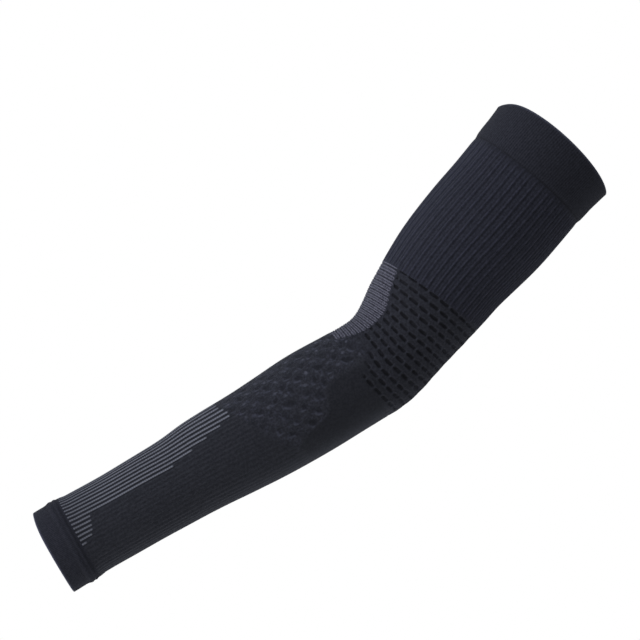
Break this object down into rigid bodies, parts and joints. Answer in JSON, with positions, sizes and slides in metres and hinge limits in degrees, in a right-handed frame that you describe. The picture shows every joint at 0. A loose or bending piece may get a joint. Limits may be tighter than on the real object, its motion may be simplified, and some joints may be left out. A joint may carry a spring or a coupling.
{
  "type": "knitted arm warmer",
  "caption": "Knitted arm warmer from the wrist to the upper arm: ribbed tubes, an open mesh band round the elbow, a flexing panel in its crook and a folded cuff at each end.",
  "frame": {"origin": "the elbow point, on the middle line of the arm that the sleeve is shown on", "axes": "+X along the forearm away from the hand, +Z towards the crook of the elbow, -Y towards the side that faces out when it is worn"},
  "size_m": [0.4678, 0.0902, 0.1506],
  "materials": {
    "cuff_knit": "matt fine plain knit, near black",
    "forearm_knit": "matt ribbed knit, near black, with thin grey stripes on the inner side",
    "elbow_mesh_knit": "matt open mesh knit, near black",
    "flex_panel_knit": "matt cross-ribbed knit, mid grey",
    "rib_knit": "matt ribbed knit, near black"
  },
  "bodies": {
    "root": {"wrist_cuff": "cuff_knit", "forearm_sleeve": "forearm_knit", "elbow_sleeve": "elbow_mesh_knit", "crook_insert": "flex_panel_knit", "upper_arm_sleeve": "rib_knit", "upper_cuff": "cuff_knit"}
  },
  "joints": []
}
